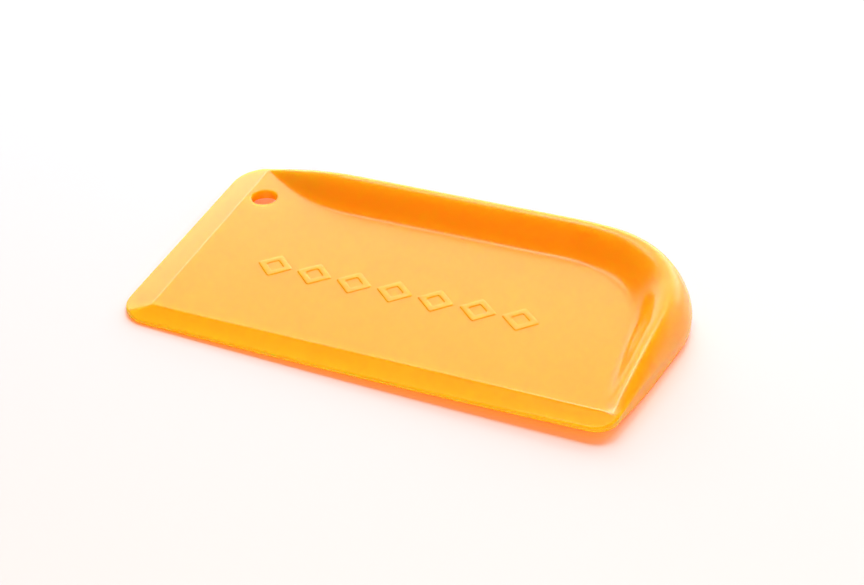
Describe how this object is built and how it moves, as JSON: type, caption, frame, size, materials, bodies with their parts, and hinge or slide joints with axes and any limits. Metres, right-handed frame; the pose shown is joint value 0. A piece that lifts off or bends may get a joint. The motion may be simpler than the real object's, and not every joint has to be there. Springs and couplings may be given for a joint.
{
  "type": "hand scraper",
  "caption": "One-piece glossy orange plastic hand scraper: flat plate with two bevelled edges, an L-shaped rolled palm grip and a hang hole.",
  "frame": {"origin": "centre of the box in X and Y, at the height of the grip's lower rim, which the scraper stands on", "axes": "+X along the long scraping edge towards the grip's short leg, +Y from that edge towards the grip's long leg, +Z out of the plate's upper face"},
  "size_m": [0.1232, 0.067, 0.0116],
  "materials": {
    "orange_plastic": "gloss"
  },
  "bodies": {
    "root": {"scraper_body": "orange_plastic"}
  },
  "joints": []
}
